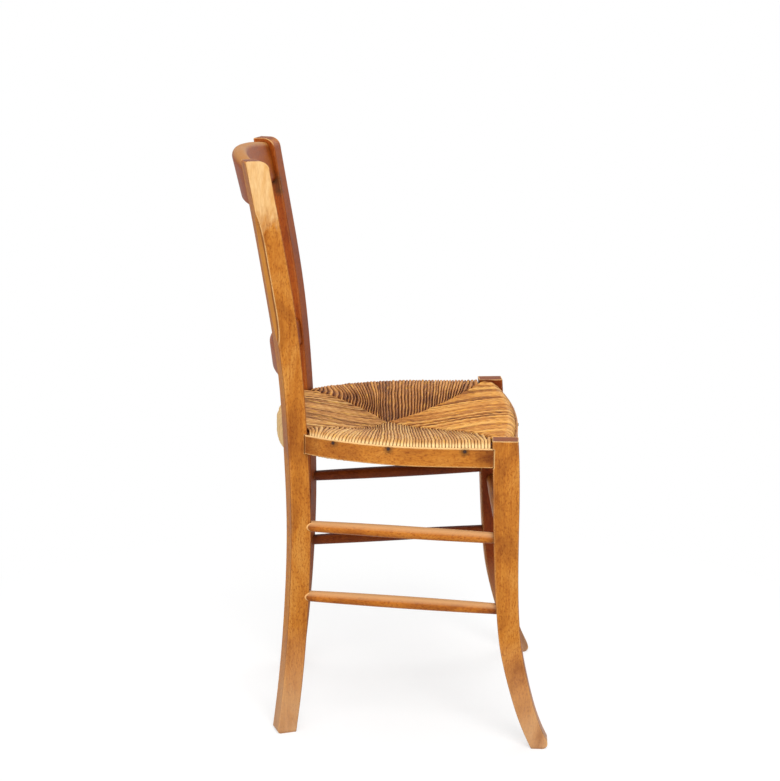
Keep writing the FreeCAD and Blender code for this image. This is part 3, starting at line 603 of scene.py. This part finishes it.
def wind_panel(name, kind, pitch, seed, mirror_x, twist, deep):
    """One panel of wound strands as a closed mesh."""
    dice = random.Random(seed)
    side = kind == "side"
    low, high = SPANS[kind]
    count = round((high - low) / pitch)
    widths = np.array([dice.uniform(0.82, 1.18) for _ in range(count)])
    edges = low + np.concatenate([[0], np.cumsum(widths) / widths.sum()]) * (high - low)
    tones = [dice.random() for _ in range(count)]
    if not side:
        # Some neighbours were twisted from the same bundle of leaves
        for i in range(1, count):
            if dice.random() < SAME_BUNDLE:
                tones[i] = tones[i - 1]
    depths = [deep * (0.45 + 1.1 * dice.random() ** 2) for _ in range(count + 1)]
    uneven = 0.35 if side else 0.8
    lifts = [dice.uniform(-uneven, uneven) for _ in range(count)]
    turns = [dice.uniform(0, 2 * math.pi) for _ in range(count)]
    # Each line as its strand's number and its share of the way across the strand
    lines = [(i, share) for i in range(count) for share in ACROSS] + [(count - 1, 1.0)]
    rows = panel_rows()
    grid = []
    for i, share in lines:
        along = edges[i] + (edges[i + 1] - edges[i]) * share
        own_middle = (edges[i] + edges[i + 1]) / 2
        grid.append(strand_path(kind, along, 0.45 * along + 0.55 * own_middle, rows))
    grid = np.array(grid)
    steps = np.linalg.norm(np.diff(grid, axis=1), axis=2)
    run = np.concatenate([np.zeros((len(grid), 1)), np.cumsum(steps, axis=1)], axis=1)
    # Measured from the rail's top, so that neighbours keep step
    top_count = len(rows["top"])
    run = run - run[:, [top_count - 1]]
    sideways = np.gradient(grid, axis=0)
    normal = np.cross(sideways, np.gradient(grid, axis=1))
    normal /= np.maximum(np.linalg.norm(normal, axis=2, keepdims=True), 1e-9)
    if normal[len(grid) // 2, top_count // 2, 2] < 0:
        normal = -normal
    offset = np.zeros(run.shape)
    groove = np.zeros(len(lines))
    for c, (i, share) in enumerate(lines):
        arch = math.sqrt(max(1 - (2 * share - 1) ** 2, 0))
        groove[c] = 1 - arch
        sink = depths[i] * (1 - share) + depths[i + 1] * share
        lobes = arch * twist * np.cos(2 * math.pi * (run[c] / LOBE_LENGTH + 0.9 * share) + turns[i])
        width = edges[i + 1] - edges[i]
        offset[c] = ROUNDNESS * width * arch - sink * (1 - arch) - SUNK + lifts[i] * arch + lobes
    # Pressed flatter underneath, above the laths' lower edges
    edge_end = top_count + len(rows["edge"])
    offset[:, edge_end - PRESSED_ROWS:] *= PRESSED
    # Strands wander a little sideways, all together
    number = np.arange(len(lines))[:, None]
    wander = 0.45 * np.sin(run / 21 + edges[0] + number / 19) + 0.3 * np.sin(run / 9.5 - number / 11)
    wander *= np.clip(np.abs(run) / 25, 0, 1) * (1.0 if side else 2.2)
    sideways /= np.maximum(np.linalg.norm(sideways, axis=2, keepdims=True), 1e-9)
    grid = grid + normal * offset[:, :, None] + sideways * wander[:, :, None]
    if mirror_x:
        grid[:, :, 0] *= -1
    mesh = closed_mesh(name, grid * MM)
    column_count, row_count = run.shape
    wound = np.stack([np.repeat([i + share for i, share in lines], row_count), (run * MM).reshape(-1)], 1)
    corners = np.zeros(len(mesh.loops), int)
    mesh.loops.foreach_get("vertex_index", corners)
    mesh.uv_layers.new(name="strands").data.foreach_set("uv", wound[corners].ravel().astype(np.float32))
    rim = np.zeros(row_count)
    rim[top_count:edge_end] = RIM_POLISH_AND_HIGHLIGHT[kind]
    if side:
        rim[top_count:top_count + len(SIDE_RIM_START)] = SIDE_RIM_START
    values = {
        "tone": np.repeat([tones[i] for i, _ in lines], row_count),
        "groove": np.repeat(groove, row_count),
        "rim": np.tile(rim, column_count),
    }
    for key, data in values.items():
        mesh.attributes.new(key, "FLOAT", "POINT").data.foreach_set("value", data.astype(np.float32))
    piece = bpy.data.objects.new(name, mesh)
    bpy.context.scene.collection.objects.link(piece)
    bpy.ops.object.select_all(action="DESELECT")
    piece.select_set(True)
    bpy.context.view_layer.objects.active = piece
    bpy.ops.object.mode_set(mode="EDIT")
    bpy.ops.mesh.select_all(action="SELECT")
    bpy.ops.mesh.normals_make_consistent(inside=False)
    bpy.ops.object.mode_set(mode="OBJECT")
    bpy.ops.object.shade_smooth_by_angle(angle=math.radians(55))
    return piece


# What a user can change
colour_setting = partial(bpy.props.FloatVectorProperty, subtype="COLOR_GAMMA", size=3, min=0, max=1)
length_setting = partial(bpy.props.FloatProperty, unit="LENGTH", subtype="DISTANCE")


class ChairLook(bpy.types.PropertyGroup):
    """Colours and sizes of the chair's finish"""
    honey: colour_setting(
        name="Honey", description="Main colour of the varnished beech", default=srgb("#C07C2C"))
    amber: colour_setting(name="Amber", description="Beech under thick varnish", default=srgb("#9C5C1E"))
    straw: colour_setting(name="Straw", description="Beech under thin varnish", default=srgb("#CE9142"))
    # The pale arris colour stands for worn wood and a painted highlight
    arris: colour_setting(name="Worn arris", description="Wood on worn arrises", default=srgb("#DDB072"))
    bare: colour_setting(name="Bare wood", description="Rubbed wood at the post tops", default=srgb("#E4BE86"))
    flecks: bpy.props.FloatProperty(
        name="Ray flecks", description="How dark the flecks of the beech are", default=0.55, min=0, max=1,
        subtype="FACTOR")
    rush_brown: colour_setting(name="Brown rush", description="Darkest leaves", default=srgb("#6A3F1E"))
    rush_tan: colour_setting(name="Tan rush", description="Most of the leaves", default=srgb("#A8713A"))
    rush_straw: colour_setting(name="Straw rush", description="Lighter leaves", default=srgb("#C68F50"))
    rush_pale: colour_setting(name="Pale rush", description="Palest leaves", default=srgb("#DDB272"))
    # Polish, and a painted highlight, where the rush turns over a rail
    rush_rim: colour_setting(
        name="Polished rush", description="Rush polished where it turns over a rail",
        default=srgb("#F0CC90"))
    side_pitch: length_setting(
        name="Side strand width", description="Width of a strand on the sides",
        default=4.7 * MM, min=3 * MM, max=10 * MM)
    front_pitch: length_setting(
        name="Front strand width", description="Width of a strand at the front and back",
        default=5.2 * MM, min=3 * MM, max=10 * MM)
    twist_relief: length_setting(
        name="Twist relief", description="How far the twisted leaves stand out",
        default=0.22 * MM, min=0, max=1 * MM)


# Rust and painted shade for varnished_beech, in metres: a place in the half at +X, and the radii of full
# and of fading darkness
CREST_JOINT_SHADE = (((0.1322, 0.1775, 0.792), 0.006, 0.015), ((0.1305, 0.1725, 0.777), 0.004, 0.010))
LATH_NAIL_RUST = (
    ((0.2058, -0.1045, 0.4503), 0.0042, 0.0084),
    ((0.2010, 0.0040, 0.4518), 0.0042, 0.0084),
    ((0.1765, 0.0830, 0.4532), 0.0042, 0.0084),
)
# How far from its ends a piece is dirty, in metres
LATH_END_DIRT = 0.035
STRETCHER_END_DIRT = 0.03


class CHAIR_OT_dress_uprights(bpy.types.Operator):
    """Give the rear posts and the front legs their varnished beech"""
    bl_idname = "chair.dress_uprights"
    bl_label = "Dress Posts and Legs"

    def execute(self, context):
        look = context.scene.chair_look
        dress(("rear_post_right", "rear_post_left"), varnished_beech(
            "beech_post", "Z", look, worn_top=True, inner="#D2A268", stains_and_shade=CREST_JOINT_SHADE))
        # The legs' inner colour is painted shade from the seat above them
        dress(("front_leg_right", "front_leg_left"), varnished_beech(
            "beech_front_leg", "Z", look, inner="#A87440"))
        return {"FINISHED"}


class CHAIR_OT_dress_back(bpy.types.Operator):
    """Give the two bent rails of the back their darker beech"""
    bl_idname = "chair.dress_back"
    bl_label = "Dress Back Rails"

    def execute(self, context):
        look = context.scene.chair_look
        # The crest's pinkish grey top is a painted sheen
        dress(("crest_rail",), varnished_beech(
            "beech_crest_rail", "X", look, tint="#C89858", top_dust_and_sheen="#D6C4AE", end_tint="#FFFFFF"))
        dress(("middle_rail",), varnished_beech("beech_middle_rail", "X", look, tint="#D2AC88"))
        return {"FINISHED"}


class CHAIR_OT_dress_seat_wood(bpy.types.Operator):
    """Give the seat rails and the laths nailed over them their beech"""
    bl_idname = "chair.dress_seat_wood"
    bl_label = "Dress Seat Rails and Laths"

    def execute(self, context):
        look = context.scene.chair_look
        dress(("seat_rail_front", "seat_rail_back"), varnished_beech("beech_seat_rail_across", "X", look))
        dress(("seat_rail_side_right", "seat_rail_side_left"), varnished_beech(
            "beech_seat_rail_side", "Y", look))
        dress(("side_lath_right", "side_lath_left"), varnished_beech(
            "beech_side_lath", "Y", look, dark_ends=(*node_span("side_lath_right", 1), LATH_END_DIRT),
            stains_and_shade=LATH_NAIL_RUST, end_tint="#FFFFFF", top_dust_and_sheen="#E6BE86"))
        dress(("front_lath",), varnished_beech("beech_front_lath", "X", look))
        return {"FINISHED"}


class CHAIR_OT_dress_stretchers(bpy.types.Operator):
    """Give the round stretchers their greyer, drier beech, the left ones darker as painted shade"""
    bl_idname = "chair.dress_stretchers"
    bl_label = "Dress Stretchers"

    def execute(self, context):
        look = context.scene.chair_look
        ends = (*node_span("side_stretcher_upper_right", 1), STRETCHER_END_DIRT)
        # The left stretchers' darker tint is painted shade under the seat
        for side, tint, top_dust_and_sheen in (("right", "#FFF4E8", "#D0A678"), ("left", "#A98062", None)):
            dress(("side_stretcher_upper_" + side, "side_stretcher_lower_" + side), varnished_beech(
                "beech_side_stretchers_" + side, "Y", look, dark_ends=ends, tint=tint, top_dust_and_sheen=top_dust_and_sheen))
        ends = (*node_span("front_stretcher", 0), STRETCHER_END_DIRT)
        dress(("front_stretcher",), varnished_beech("beech_front_stretcher", "X", look, dark_ends=ends))
        return {"FINISHED"}


class CHAIR_OT_dress_nails(bpy.types.Operator):
    """Give the nail heads their black-brown iron"""
    bl_idname = "chair.dress_nails"
    bl_label = "Dress Nails"

    def execute(self, context):
        dress(("lath_nails",), old_nail_iron("nail_iron_rusted"))
        return {"FINISHED"}


class CHAIR_OT_wind_rush(bpy.types.Operator):
    """Wind the four rush panels strand by strand over the seat rails"""
    bl_idname = "chair.wind_rush"
    bl_label = "Wind Rush Seat"

    def execute(self, context):
        look = context.scene.chair_look
        side, front, twist = look.side_pitch / MM, look.front_pitch / MM, look.twist_relief / MM
        # The far left panel's lower tone is partly painted shade and the near right panel's higher tone partly
        # painted light; the rest is the rush's own tone
        # Name, kind, width of a strand, seed, mirrored, node, shift of tone, depth of grooves, tint, contrast
        panels = (
            ("wound_rush_right", "side", side, 11, True, "rush_side_right", 0.13, 0.65, "#FFFFFF", 0.24),
            ("wound_rush_left", "side", side * 1.08, 23, False, "rush_side_left", -0.12, 1.0, "#FFF4E8", 0.28),
            ("wound_rush_front", "front", front, 37, False, "rush_front", 0.04, 0.8, "#FFEFC8", 0.55),
            ("wound_rush_back", "back", front, 53, False, "rush_back", -0.04, 0.7, "#FFFFFF", 0.55),
        )
        for name, kind, pitch, seed, mirror_x, node, tone_shift, deep, tint, contrast in panels:
            piece = wind_panel(name, kind, pitch, seed, mirror_x, twist, deep)
            material = wound_rush("rush_" + node.removeprefix("rush_"), look, tone_shift, tint, contrast)
            finish_piece(piece, material, (node,))
        return {"FINISHED"}


FLOOR_RADIUS = 30.0
# The floor round the chair: from where to where its shadow gives way to plain white, and how much of the
# white is there from the start
SHADOW_REACH = (0.25, 0.9)
PLAIN_SHARE = 0.62
ROOM_LIGHT = 0.45
# Lamps: name, size in metres, power in watts and place. All face one point
LAMPS = (
    ("key", 1.8, 92.0, (-2.5, -0.5, 3.0)),
    ("fill", 2.4, 46.0, (-3.0, 1.9, 1.4)),
    ("top", 1.8, 26.0, (0.6, 0.2, 3.2)),
    ("far", 2.4, 26.0, (2.6, -2.0, 2.0)),
)
LAMPS_FACE = Vector((0, 0, 0.45))
# The camera that fits the photograph
PHOTO_PIXELS = 781
FOCAL_PIXELS = 1965.9
SENSOR_MM = 36.0
CAMERA_PLACE = (-2.9, 0.02306, 1.17882)
CAMERA_RIGHT = (-0.00682329, -0.99996648, 0.00452458)
CAMERA_UP = (0.23087975, 0.00282705, 0.97297818)
CAMERA_BACKWARD = (-0.97295837, 0.00768355, 0.23085273)


class CHAIR_OT_set_stage(bpy.types.Operator):
    """Set out the white floor, the soft light and the camera"""
    bl_idname = "chair.set_stage"
    bl_label = "Set Stage"

    def execute(self, context):
        scene = context.scene
        bpy.ops.object.select_all(action="DESELECT")
        bpy.ops.mesh.primitive_circle_add(vertices=96, radius=FLOOR_RADIUS, fill_type="NGON")
        floor = context.object
        floor.name = "floor"
        # White paper with a soft shadow near the chair, and plain white further off
        material, add = new_material("white_paper_floor")
        floor.data.materials.append(material)
        away = add("VectorMath", operation="LENGTH", in_0=add("TexCoord").outputs["Object"]).outputs["Value"]
        plain = add("MapRange", in_Value=away, in_1=SHADOW_REACH[0], in_2=SHADOW_REACH[1], in_3=PLAIN_SHARE)
        paper = add("MixShader", in_0=plain, in_1=add("BsdfDiffuse", in_Color=linear("#FFFFFF")),
                    in_2=add("Emission", in_Color=linear("#FFFFFF")))
        grey_paper = add("BsdfDiffuse", in_Color=linear("#C8C8C8"))
        world = bpy.data.worlds.new("studio")
        world.use_nodes = True
        world.node_tree.nodes.clear()
        scene.world = world
        room = add_node(world.node_tree, "Background", in_Color=linear("#FFFFFF"), in_Strength=ROOM_LIGHT)
        white = add_node(world.node_tree, "Background", in_Color=linear("#FFFFFF"), in_Strength=1.0)
        # The camera sees the white ones, also in shiny and clear pieces, and the others only light the chair
        for tree, ending, unseen, seen in (
                (material.node_tree, "OutputMaterial", grey_paper, paper),
                (world.node_tree, "OutputWorld", room, white)):
            path = add_node(tree, "LightPath").outputs
            looking = add_node(tree, "Math", operation="MAXIMUM", in_0=path["Is Camera Ray"],
                               in_1=path["Is Glossy Ray"])
            looking = add_node(tree, "Math", operation="MAXIMUM", in_0=looking,
                               in_1=path["Is Transmission Ray"])
            both = add_node(tree, "MixShader", in_0=looking, in_1=unseen, in_2=seen)
            add_node(tree, ending, in_Surface=both)
        for name, size, power, place in LAMPS:
            data = bpy.data.lights.new(name, "AREA")
            data.size = size
            data.energy = power
            lamp = bpy.data.objects.new(name, data)
            lamp.location = place
            lamp.rotation_euler = (LAMPS_FACE - Vector(place)).to_track_quat("-Z", "Y").to_euler()
            scene.collection.objects.link(lamp)
        data = bpy.data.cameras.new("camera")
        data.sensor_width = SENSOR_MM
        data.lens = FOCAL_PIXELS * SENSOR_MM / PHOTO_PIXELS
        data.clip_end = 100.0
        camera = bpy.data.objects.new("camera", data)
        axes = Matrix((CAMERA_RIGHT, CAMERA_UP, CAMERA_BACKWARD)).transposed()
        camera.matrix_world = Matrix.Translation(CAMERA_PLACE) @ axes.to_4x4()
        scene.collection.objects.link(camera)
        scene.camera = camera
        scene.view_settings.view_transform = "Standard"
        return {"FINISHED"}


STEPS = (
    CHAIR_OT_dress_uprights,
    CHAIR_OT_dress_back,
    CHAIR_OT_dress_seat_wood,
    CHAIR_OT_dress_stretchers,
    CHAIR_OT_dress_nails,
    CHAIR_OT_wind_rush,
    CHAIR_OT_set_stage,
)


class CHAIR_PT_steps(bpy.types.Panel):
    """The chair's steps, in the order they are made"""
    bl_label = "Rush-Seated Chair"
    bl_idname = "CHAIR_PT_steps"
    bl_space_type = "VIEW_3D"
    bl_region_type = "UI"
    bl_category = "Chair"

    def draw(self, context):
        look = context.scene.chair_look
        for name in look.bl_rna.properties.keys():
            if name not in ("rna_type", "name"):
                self.layout.prop(look, name)
        for step in STEPS:
            self.layout.operator(step.bl_idname)


def register():
    for kind in (ChairLook, *STEPS, CHAIR_PT_steps):
        bpy.utils.register_class(kind)
    bpy.types.Scene.chair_look = bpy.props.PointerProperty(type=ChairLook)


def unregister():
    del bpy.types.Scene.chair_look
    for kind in reversed((ChairLook, *STEPS, CHAIR_PT_steps)):
        bpy.utils.unregister_class(kind)


def main():
    register()
    for step in STEPS:
        group, operation = step.bl_idname.split(".")
        getattr(getattr(bpy.ops, group), operation)()


if __name__ == "__main__":
    main()
